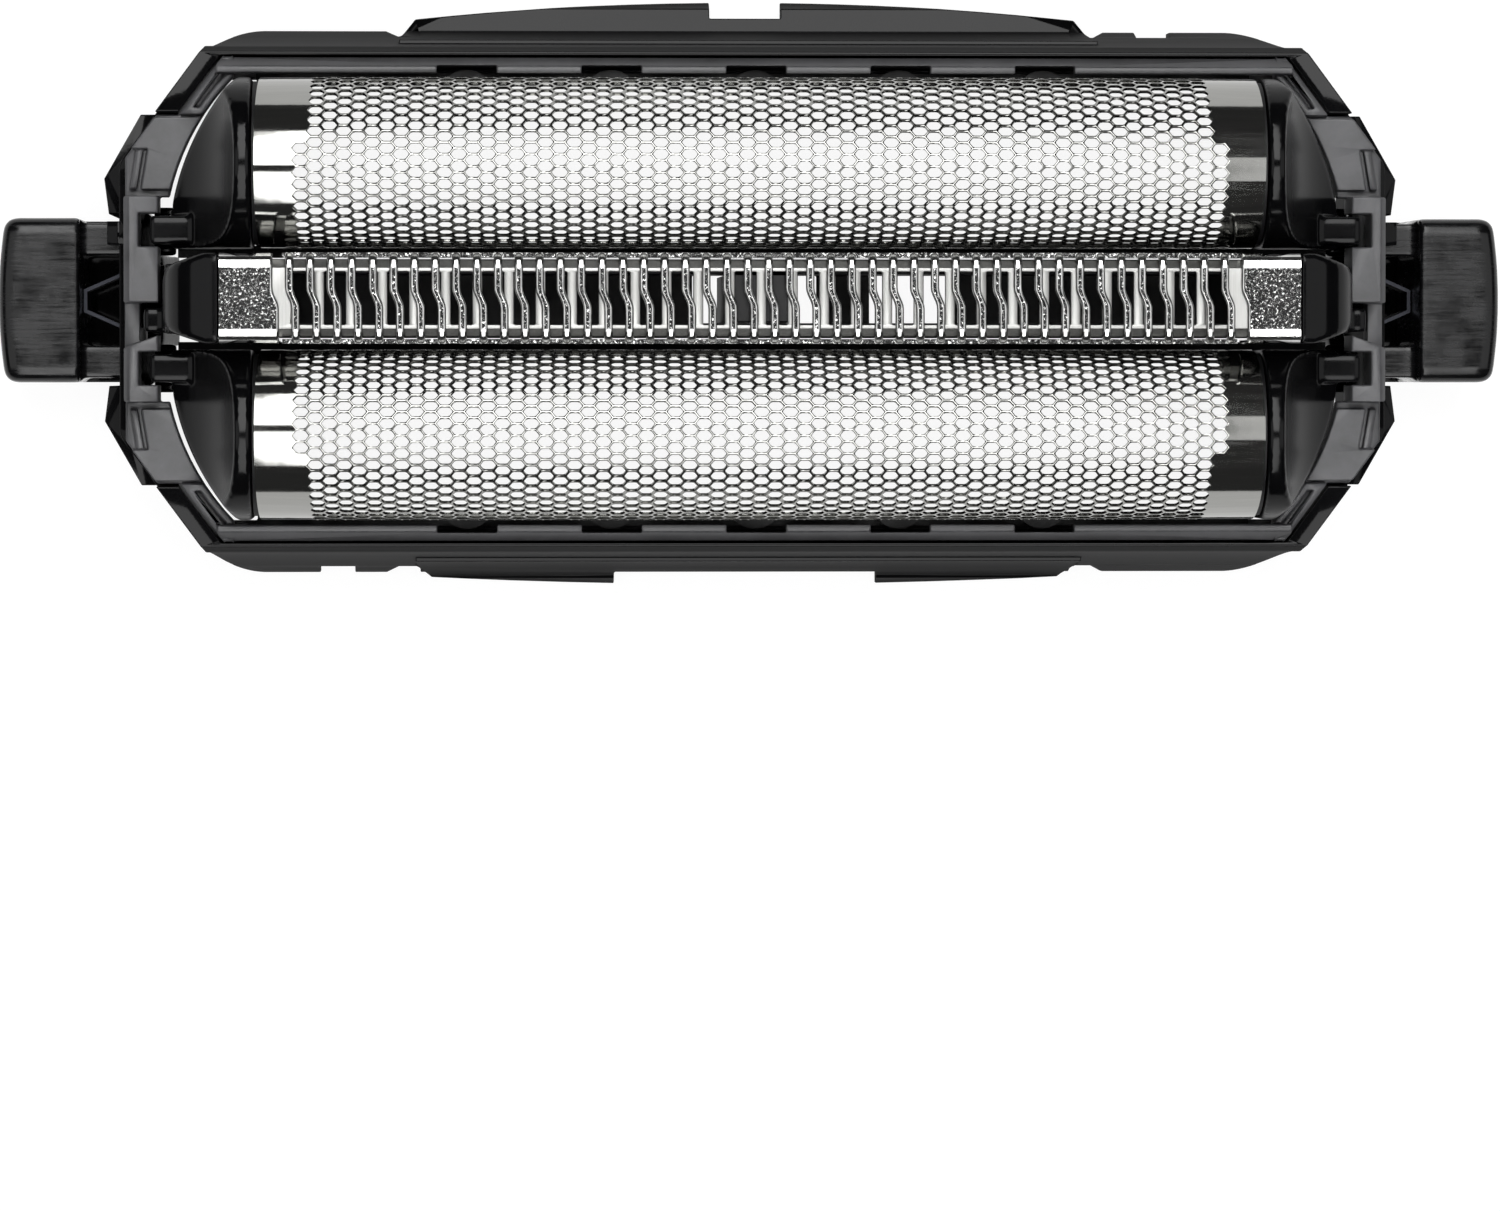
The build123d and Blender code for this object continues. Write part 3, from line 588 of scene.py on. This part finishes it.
def white_paper():
    """Matt white paper on the table."""
    # White to the eye and in reflections, and a little darker where the head shades it.
    scene = bpy.context.scene
    shade = scene.finish_colours.paper
    material, tree, place = new_material("paper_sweep_white")
    fibre = add_node(
        tree, "ShaderNodeTexNoise", {"Vector": place, "Scale": per_metre(0.9), "Detail": 3.0}
    )
    tone = add_node(
        tree,
        "ShaderNodeValToRGB",
        {"Fac": fibre},
        ramp=((0, opaque(shade, 0.933)), (1, opaque(shade, 1.067))),
    )
    paper = add_node(tree, "ShaderNodeBsdfDiffuse", {"Color": tone})
    rays = add_node(tree, "ShaderNodeLightPath").outputs
    direct = add_node(
        tree,
        "ShaderNodeMath",
        {0: rays["Is Camera Ray"], 1: rays["Is Transmission Ray"]},
        operation="MAXIMUM",
    )
    seen = add_node(tree, "ShaderNodeMath", {0: direct, 1: rays["Is Glossy Ray"]}, operation="MAXIMUM")
    level = add_node(
        tree, "ShaderNodeMath", {0: seen, 1: scene.studio_settings.paper_glow}, operation="MULTIPLY"
    )
    glow = add_node(tree, "ShaderNodeEmission", {"Color": WHITE, "Strength": level})
    lit = add_node(tree, "ShaderNodeAddShader", {0: paper, 1: glow})
    add_node(tree, "ShaderNodeOutputMaterial", {"Surface": lit})
    return material


# Softened CAD nodes


def dress(node_name, material):
    """Gives a CAD node one finish."""
    node = frame["nodes"][node_name]
    node.data.materials.clear()
    node.data.materials.append(material)
    return node


def even_shading(piece, keep_sharp):
    """Keeps flats flat beside rounded edges: larger faces count for more in the shading."""
    shading = piece.modifiers.new("shading", "WEIGHTED_NORMAL")
    shading.weight = FACE_WEIGHT
    shading.keep_sharp = keep_sharp


def soften(node, width, segments=2):
    """Rounds a CAD node's sharp edges, so that they catch the light as moulded or ground edges do."""
    weld = node.modifiers.new("weld", "WELD")
    weld.merge_threshold = WELD
    bevel = node.modifiers.new("edges", "BEVEL")
    bevel.width = width
    bevel.segments = segments
    bevel.limit_method = "ANGLE"
    bevel.angle_limit = CREASE
    bevel.use_clamp_overlap = False
    bevel.miter_outer = "MITER_ARC"
    even_shading(node, False)


def round_off(node, easing):
    """Rounds a CAD node all over, as a moulding with generous radii, by easing it on a fine grid."""
    regrid = node.modifiers.new("grid", "REMESH")
    regrid.mode = "VOXEL"
    regrid.voxel_size = bpy.context.scene.edge_sizes.grid
    regrid.use_smooth_shade = True
    ease = node.modifiers.new("easing", "SMOOTH")
    ease.factor = EASE_SHARE
    ease.iterations = easing


def add_piece(context, mesh, material):
    """A new object for a mesh, with one finish."""
    mesh.materials.append(material)
    piece = bpy.data.objects.new(mesh.name, mesh)
    context.scene.collection.objects.link(piece)
    return piece


# Perforated foils


class FoilArch:
    """Where one foil lies: an arch over its cutter bay, bowed along the head."""

    def __init__(self, side, sizes):
        low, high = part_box(f"foil_{side}")
        self.sizes = sizes
        self.facing = 1 if side == "rear" else -1
        self.axis_y = (low.y + high.y) / 2
        self.axis_z = high.z - sizes.radius
        self.bow_centre = high.z - sizes.bow_radius
        self.edge_z = low.z
        self.half_length = sizes.bow_radius * asin(high.x / sizes.bow_radius)
        self.quarter = pi / 2 * sizes.radius
        self.field_half = self.quarter + sizes.field_drop
        self.cut = self.field_half + sizes.row_pitch

    def foot(self, x):
        """Distance from the crest, round the arch, to the level lower edge at a place along the foil."""
        turn = x / self.sizes.bow_radius
        foot_z = (self.edge_z - self.bow_centre) / cos(turn) + self.bow_centre
        return self.quarter + self.axis_z - foot_z

    def bend(self, flat_place, inset, lean=None):
        """Place and outward normal of a flat point on the bowed arch; a lean tips the normal into a hole."""
        sizes = self.sizes
        along = flat_place.y * self.facing
        swing = max(-pi / 2, min(pi / 2, along / sizes.radius))
        straight = max(0.0, abs(along) - self.quarter)
        radius = sizes.radius - inset
        y = radius * sin(swing)
        height = self.axis_z + radius * cos(swing) - straight - self.bow_centre
        turn = flat_place.x / sizes.bow_radius
        place = Vector((height * sin(turn), self.axis_y + y, self.bow_centre + height * cos(turn)))
        tilt = swing + self.facing * sizes.arch_lean * cos(swing)
        normal = Vector((cos(tilt) * sin(turn), sin(tilt), cos(tilt) * cos(turn)))
        if lean is not None:
            normal += sizes.edge_lean * lean.x * Vector((cos(turn), 0, -sin(turn)))
            normal += sizes.edge_lean * lean.y * self.facing * Vector((0, cos(swing), -sin(swing)))
            normal.normalize()
        return place, normal


def hexagon(tip, shoulder, top):
    """Six corners of a hexagon that points along the foil, from its right tip round."""
    return [
        Vector((tip, 0)),
        Vector((shoulder, top)),
        Vector((-shoulder, top)),
        Vector((-tip, 0)),
        Vector((-shoulder, -top)),
        Vector((shoulder, -top)),
    ]


def hole_outline(cell, half_width, half_height, bar, chamfer):
    """Twelve points of a hexagonal hole with cut corners, half a bar inside its cell."""
    slope = Vector((half_height, half_width / 2)).normalized()
    reach = slope.dot(cell[0]) - bar / 2
    top = half_height - bar / 2
    inner = hexagon(reach / slope.x, (reach - slope.y * top) / slope.x, top)
    points = []
    for i, corner in enumerate(inner):
        points.append(corner.lerp(inner[i - 1], chamfer))
        points.append(corner.lerp(inner[(i + 1) % len(inner)], chamfer))
    return points


def flat_foil(arch):
    """The foil laid flat as a lattice of cells, those inside the field with a hole each."""
    sizes = arch.sizes
    flat = bmesh.new()
    lean = flat.verts.layers.float_vector.new("lean")
    half_width = sizes.column_pitch * 2 / 3
    half_height = sizes.row_pitch / 2
    cell = hexagon(half_width, half_width / 2, half_height)
    hole = hole_outline(cell, half_width, half_height, sizes.bar, sizes.corner_cut)
    # The cell's corners again, in thirds of a column pitch and halves of a row pitch.
    corner_keys = [(2, 0), (1, 1), (-1, 1), (-2, 0), (-1, -1), (1, -1)]
    known = {}

    def shared_corner(column, key, place):
        """The one point that neighbouring cells have at a corner."""
        corner_spot = (3 * column + key[0], key[1])
        if corner_spot not in known:
            known[corner_spot] = flat.verts.new((place.x, place.y, 0))
        return known[corner_spot]

    columns = int(arch.half_length / sizes.column_pitch) + SPARE_CELLS
    rows = int(arch.cut / sizes.row_pitch) + SPARE_CELLS
    taper = (sizes.inner_reach - sizes.outer_reach) / (2 * sizes.radius)
    middle = (sizes.inner_reach + sizes.outer_reach) / 2
    for column in range(-columns, columns + 1):
        for row in range(-rows, rows + 1):
            step = 2 * row + column % 2
            centre = Vector((column * sizes.column_pitch, step * half_height))
            ring = [
                shared_corner(column, (key[0], step + key[1]), centre + place)
                for key, place in zip(corner_keys, cell)
            ]
            across = sizes.radius * sin(max(-pi / 2, min(pi / 2, centre.y / sizes.radius)))
            if abs(centre.y) > arch.field_half or abs(centre.x) > middle - taper * across:
                flat.faces.new(ring)
                continue
            rim = [flat.verts.new((*(centre + place), 0)) for place in hole]
            for vert, place in zip(rim, hole):
                vert[lean] = (*-place.normalized(), 0)
            for i in range(len(ring)):
                after = (i + 1) % len(ring)
                flat.faces.new((ring[i], rim[2 * i + 1], rim[2 * i]))
                flat.faces.new((ring[i], ring[after], rim[2 * after], rim[2 * i + 1]))
    trim_lattice(flat, arch)
    return flat


def trim_lattice(flat, arch):
    """Cuts the lattice off at the foil's ends and just below its holes."""
    for place, outward in (
        ((arch.half_length, 0, 0), (1, 0, 0)),
        ((-arch.half_length, 0, 0), (-1, 0, 0)),
        ((0, arch.cut, 0), (0, 1, 0)),
        ((0, -arch.cut, 0), (0, -1, 0)),
    ):
        every = flat.verts[:] + flat.edges[:] + flat.faces[:]
        bmesh.ops.bisect_plane(
            flat, geom=every, dist=TRIM, plane_co=place, plane_no=outward, clear_outer=True
        )
    bmesh.ops.dissolve_degenerate(flat, dist=SLIVER, edges=flat.edges[:])


def lengthen_sides(flat, arch):
    """Carries both long edges of the flat foil on to its level lower edges."""
    for way in (1, -1):
        line_y = way * arch.cut
        lower = [
            edge
            for edge in flat.edges
            if edge.is_boundary and all(abs(vert.co.y - line_y) < ON_LINE for vert in edge.verts)
        ]
        fresh = bmesh.ops.extrude_edge_only(flat, edges=lower)["geom"]
        for vert in [item for item in fresh if isinstance(item, bmesh.types.BMVert)]:
            vert.co.y = way * arch.foot(vert.co.x)
    bmesh.ops.recalc_face_normals(flat, faces=flat.faces[:])
    flat.verts.index_update()


def bent_sheet(name, flat, arch):
    """The flat foil bent over its arch as a closed sheet, with its shading normals."""
    lean = flat.verts.layers.float_vector["lean"]
    outer = [arch.bend(vert.co, 0, vert[lean]) for vert in flat.verts]
    inner = [arch.bend(vert.co, arch.sizes.sheet) for vert in flat.verts]
    rings = []
    for face in flat.faces:
        ring = [vert.index for vert in face.verts]
        if face.normal.z * arch.facing < 0:
            ring.reverse()
        rings.append(ring)
    rims = []
    for edge in flat.edges:
        if not edge.is_boundary:
            continue
        loop = edge.link_loops[0]
        a = loop.vert.index
        b = loop.link_loop_next.vert.index
        rims.append((b, a) if loop.face.normal.z * arch.facing < 0 else (a, b))
    count = len(outer)
    faces = []
    normals = []
    # Faces and edges are sorted, so that the mesh is the same in each run.
    for ring in sorted(rings):
        faces.append(ring)
        normals += [outer[i][1] for i in ring]
        faces.append([i + count for i in reversed(ring)])
        normals += [-inner[i][1] for i in reversed(ring)]
    for a, b in sorted(rims):
        quad = [a, a + count, b + count, b]
        faces.append(quad)
        wall = (inner[a][0] - outer[a][0]).cross(inner[b][0] - inner[a][0]).normalized()
        normals += [wall] * len(quad)
    mesh = bpy.data.meshes.new(name)
    mesh.from_pydata([place for place, normal in outer + inner], [], faces)
    mesh.shade_smooth()
    mesh.normals_split_custom_set(normals)
    return mesh


def foil_mesh(name, side):
    """The bowed, perforated foil over one cutter bay, with its plain margins and lower edges."""
    arch = FoilArch(side, bpy.context.scene.foil_sizes)
    flat = flat_foil(arch)
    lengthen_sides(flat, arch)
    mesh = bent_sheet(name, flat, arch)
    flat.free()
    return mesh


# Slit comb


def comb_profile(sizes, half, top, foot):
    """Places and normals along the comb's bent section, from one foot over the top to the other."""
    level = half - sizes.shoulder
    shoulder = []
    for i in range(SHOULDER_POINTS):
        swing = pi / 2 * i / (SHOULDER_POINTS - 1)
        out = Vector((sin(pi / 2 - swing), cos(pi / 2 - swing)))
        shoulder.append((Vector((level, top - sizes.shoulder)) + sizes.shoulder * out, out))
    crown = [
        (Vector((level * (1 - 2 * i / CROWN_SPANS), top)), Vector((0, 1))) for i in range(1, CROWN_SPANS)
    ]
    right = [(Vector((half, foot)), Vector((1, 0))), *shoulder]
    left = [(Vector((-p.x, p.y)), Vector((-n.x, n.y))) for p, n in reversed(right)]
    return right + crown + left


def comb_strip(comb, profile, sizes, edges_at, round_low, round_high):
    """One strip of the comb over its bent section, between two edges that depend on Y."""
    quarter_turns = [pi / 2 * i / EDGE_SPANS for i in range(EDGE_SPANS + 1)]
    rounded = [(1 - cos(turn), 1 - sin(turn)) for turn in quarter_turns]
    rounded.append((EDGE_SUPPORT, 0))
    square = [(0, 0)]
    rings = []
    for place, out in profile:
        low, high = edges_at(place.x)
        section = []
        for across, drop in rounded if round_low else square:
            section.append((low + sizes.edge * across, sizes.edge * drop))
        for across, drop in reversed(rounded) if round_high else square:
            section.append((high - sizes.edge * across, sizes.edge * drop))
        section += [(high, sizes.sheet), (low, sizes.sheet)]
        rings.append([comb.verts.new((x, *(place - out * depth))) for x, depth in section])
    count = len(rings[0])
    for ring, after in zip(rings, rings[1:]):
        for i in range(count):
            j = (i + 1) % count
            comb.faces.new((ring[i], ring[j], after[j], after[i]))
    comb.faces.new(rings[0])
    comb.faces.new(list(reversed(rings[-1])))


def comb_mesh(name):
    """The slit comb with rounded bars and bent shoulders."""
    sizes = bpy.context.scene.comb_sizes
    low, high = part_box("trimmer_comb")
    pitch = 2 * (high.x - sizes.margin) / (sizes.slits - 1)
    half_slit = (pitch - sizes.bar) / 2
    half_bar = sizes.bar / 2
    first = low.x + sizes.margin
    last = first + (sizes.slits - 1) * pitch

    def jog(y):
        """Sideways shift of a bar at a place across the comb."""
        step = max(-1.0, min(1.0, -2 * y / sizes.jog_run))
        return sizes.jog / 2 * sin(pi / 2 * step)

    comb = bmesh.new()
    over_bars = comb_profile(sizes, high.y, high.z, high.z - sizes.shoulder - sizes.sheet)
    for i in range(sizes.slits - 1):
        middle = first + (i + 0.5) * pitch
        comb_strip(
            comb,
            over_bars,
            sizes,
            lambda y: (middle - half_bar + jog(y), middle + half_bar + jog(y)),
            round_low=True,
            round_high=True,
        )
    full = comb_profile(sizes, high.y, high.z, low.z)
    comb_strip(
        comb,
        full,
        sizes,
        lambda y: (low.x, first - half_slit + jog(y)),
        round_low=False,
        round_high=True,
    )
    comb_strip(
        comb,
        full,
        sizes,
        lambda y: (last + half_slit + jog(y), high.x),
        round_low=True,
        round_high=False,
    )
    for way in (1, -1):
        wall = [(Vector((way * high.y, z)), Vector((way, 0))) for z in (low.z, high.z - sizes.shoulder)]
        comb_strip(comb, wall, sizes, lambda y: (first, last), round_low=False, round_high=False)
    bmesh.ops.recalc_face_normals(comb, faces=comb.faces[:])
    mesh = bpy.data.meshes.new(name)
    comb.to_mesh(mesh)
    comb.free()
    mesh.shade_smooth()
    mesh.set_sharp_from_angle(angle=COMB_CREASE)
    return mesh


# Leaf springs


def leaf_spring(context, node_name, material):
    """A leaf in place of its CAD node, carried by the frame."""
    leaf = bmesh.new()
    leaf.from_mesh(frame["nodes"][node_name].data)
    bmesh.ops.remove_doubles(leaf, verts=leaf.verts[:], dist=WELD)
    mesh = bpy.data.meshes.new(f"leaf_{node_name}")
    leaf.to_mesh(mesh)
    leaf.free()
    piece = add_piece(context, mesh, material)
    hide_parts(node_name)
    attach(piece, "frame")
    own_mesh(piece)


# Studio


def lay_paper(context):
    """The white paper under the head."""
    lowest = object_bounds()[0].z
    sweep = bmesh.new()
    bmesh.ops.create_grid(sweep, x_segments=SWEEP_CELLS, y_segments=SWEEP_CELLS, size=SWEEP_HALF)
    mesh = bpy.data.meshes.new("white_sweep")
    sweep.to_mesh(mesh)
    sweep.free()
    floor = add_piece(context, mesh, white_paper())
    floor.location.z = lowest - SWEEP_GAP
    floor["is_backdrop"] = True


def dim_room(scene):
    """An even, dim room."""
    world = bpy.data.worlds.new("dim_studio")
    world.use_nodes = True
    tree = world.node_tree
    tree.nodes.clear()
    dim = add_node(
        tree, "ShaderNodeBackground", {"Color": WHITE, "Strength": scene.studio_settings.room}
    )
    add_node(tree, "ShaderNodeOutputWorld", {"Surface": dim})
    scene.world = world


def hang_soft_boxes(scene):
    """A soft box over each side of the head, with a dark gap straight overhead."""
    studio = scene.studio_settings
    height = studio.lamp_height
    long_box = (studio.long_near, studio.long_far, studio.long_side)
    end_box = (studio.end_near, studio.end_far, studio.end_side)
    for name, bearing_deg, strength, (near, far, side) in (
        ("rear_soft_box", 0, studio.rear_lamp, long_box),
        ("left_soft_box", 90, studio.end_lamp, end_box),
        ("front_soft_box", 180, studio.front_lamp, long_box),
        ("right_soft_box", 270, studio.end_lamp, end_box),
    ):
        lamp = bpy.data.lights.new(name, "AREA")
        lamp.shape = "RECTANGLE"
        lamp.size = 2 * height * tan(side)
        lamp.size_y = height * (tan(far) - tan(near))
        lamp.energy = strength * pi * lamp.size * lamp.size_y
        box = bpy.data.objects.new(name, lamp)
        turn = Matrix.Rotation(radians(bearing_deg), 4, "Z")
        middle = Vector((0, height * (tan(near) + tan(far)) / 2, height))
        box.matrix_world = turn @ Matrix.Translation(middle)
        scene.collection.objects.link(box)


def set_camera(scene):
    """The camera, nearly straight above the head, with the rear of the head at the top of the picture."""
    studio = scene.studio_settings
    lens = bpy.data.cameras.new("studio_camera")
    lens.lens = studio.lens
    lens.sensor_width = SENSOR_MM
    camera = bpy.data.objects.new("studio_camera", lens)
    place = Vector(studio.camera)
    back = (place - Vector(studio.target)).normalized()
    right = Vector((0, 1, 0)).cross(back).normalized()
    turn = Matrix((right, back.cross(right), back)).transposed()
    camera.matrix_world = Matrix.Translation(place) @ turn.to_4x4()
    scene.collection.objects.link(camera)
    scene.camera = camera


# Operators


class FOILHEAD_OT_foils(bpy.types.Operator):
    """Builds both perforated foils in place of the CAD model's sheets"""

    bl_idname = "foil_head.foils"
    bl_label = "Perforated foils"

    def execute(self, context):
        nickel = nickel_foil()
        for side in SIDES:
            piece = add_piece(context, foil_mesh(f"perforated_foil_{side}", side), nickel)
            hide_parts(f"foil_{side}")
            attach(piece, f"{side}_foil_unit")
        return {"FINISHED"}


class FOILHEAD_OT_trimmer(bpy.types.Operator):
    """Builds the slit comb and dresses the blade that slides under it"""

    bl_idname = "foil_head.trimmer"
    bl_label = "Comb and blade"

    def execute(self, context):
        piece = add_piece(context, comb_mesh("slit_comb"), tumbled_comb())
        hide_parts("trimmer_comb")
        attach(piece, "trimmer_unit")
        even_shading(piece, True)
        soften(dress("trimmer_blade", ground_blade()), context.scene.edge_sizes.blade, segments=1)
        return {"FINISHED"}


class FOILHEAD_OT_springs(bpy.types.Operator):
    """Lays the leaf springs of the trimmer and the buttons"""

    bl_idname = "foil_head.springs"
    bl_label = "Leaf springs"

    def execute(self, context):
        steel = spring_painted_shade()
        for end, inner in zip(ENDS, (HIGH, LOW)):
            leaf_spring(context, f"trimmer_spring_{end}", steel)
            leaf_spring(context, f"button_spring_{end}", steel)
        return {"FINISHED"}


class FOILHEAD_OT_carriers(bpy.types.Operator):
    """Dresses the trimmer's carrier and yoke and the rails that hold the foils"""

    bl_idname = "foil_head.carriers"
    bl_label = "Carriers and rails"

    def execute(self, context):
        nylon = matt_carrier()
        for node_name in ("trimmer_carrier", "trimmer_yoke"):
            soften(dress(node_name, nylon), context.scene.edge_sizes.carrier)
        for side in SIDES:
            dress(f"foil_holder_{side}", nylon)
        return {"FINISHED"}


class FOILHEAD_OT_caps(bpy.types.Operator):
    """Dresses the gloss end caps of the trimmer and of the foils"""

    bl_idname = "foil_head.caps"
    bl_label = "End caps"

    def execute(self, context):
        edges = context.scene.edge_sizes
        gloss = gloss_cap()
        for end in ENDS:
            round_off(dress(f"trimmer_cap_{end}", gloss), edges.nose_easing)
            for side in SIDES:
                round_off(dress(f"foil_cap_{side}_{end}", gloss), edges.cap_easing)
        return {"FINISHED"}


class FOILHEAD_OT_frames(bpy.types.Operator):
    """Dresses the outer frame and the cassette inside it"""

    bl_idname = "foil_head.frames"
    bl_label = "Frame and cassette"

    def execute(self, context):
        edges = context.scene.edge_sizes
        soften(dress("foil_frame", polished_frame()), edges.frame)
        soften(dress("cassette_frame", satin_cassette()), edges.cassette)
        return {"FINISHED"}


class FOILHEAD_OT_buttons(bpy.types.Operator):
    """Dresses the two release buttons"""

    bl_idname = "foil_head.buttons"
    bl_label = "Release buttons"

    def execute(self, context):
        edges = context.scene.edge_sizes
        rubbed = scuffed_button()
        for end in ENDS:
            round_off(dress(f"release_button_{end}", rubbed), edges.button_easing)
        return {"FINISHED"}


class FOILHEAD_OT_studio(bpy.types.Operator):
    """Lays the white paper, hangs the soft boxes and sets the camera"""

    bl_idname = "foil_head.studio"
    bl_label = "Studio"

    def execute(self, context):
        scene = context.scene
        scene.view_settings.view_transform = "Standard"
        lay_paper(context)
        dim_room(scene)
        hang_soft_boxes(scene)
        set_camera(scene)
        return {"FINISHED"}


STEPS = (
    FOILHEAD_OT_foils,
    FOILHEAD_OT_trimmer,
    FOILHEAD_OT_springs,
    FOILHEAD_OT_carriers,
    FOILHEAD_OT_caps,
    FOILHEAD_OT_frames,
    FOILHEAD_OT_buttons,
    FOILHEAD_OT_studio,
)
SETTINGS = {
    "foil_sizes": FoilSizes,
    "comb_sizes": CombSizes,
    "edge_sizes": EdgeSizes,
    "finish_colours": FinishColours,
    "studio_settings": StudioSettings,
}


class FOILHEAD_PT_panel(bpy.types.Panel):
    """Lists the steps that build the foil head"""

    bl_idname = "FOILHEAD_PT_panel"
    bl_label = "Shaver foil head"
    bl_space_type = "VIEW_3D"
    bl_region_type = "UI"
    bl_category = "Foil head"

    def draw(self, context):
        for step in STEPS:
            self.layout.operator(step.bl_idname)


def register():
    """Adds the settings, the steps and the panel."""
    for name, group in SETTINGS.items():
        bpy.utils.register_class(group)
        setattr(bpy.types.Scene, name, PointerProperty(type=group))
    for step in STEPS:
        bpy.utils.register_class(step)
    bpy.utils.register_class(FOILHEAD_PT_panel)


def unregister():
    """Takes them away again, in the opposite order."""
    bpy.utils.unregister_class(FOILHEAD_PT_panel)
    for step in reversed(STEPS):
        bpy.utils.unregister_class(step)
    for name, group in reversed(SETTINGS.items()):
        delattr(bpy.types.Scene, name)
        bpy.utils.unregister_class(group)


def main():
    """Builds the whole visual model."""
    register()
    bpy.ops.foil_head.foils()
    bpy.ops.foil_head.trimmer()
    bpy.ops.foil_head.springs()
    bpy.ops.foil_head.carriers()
    bpy.ops.foil_head.caps()
    bpy.ops.foil_head.frames()
    bpy.ops.foil_head.buttons()
    bpy.ops.foil_head.studio()


if __name__ == "__main__":
    main()
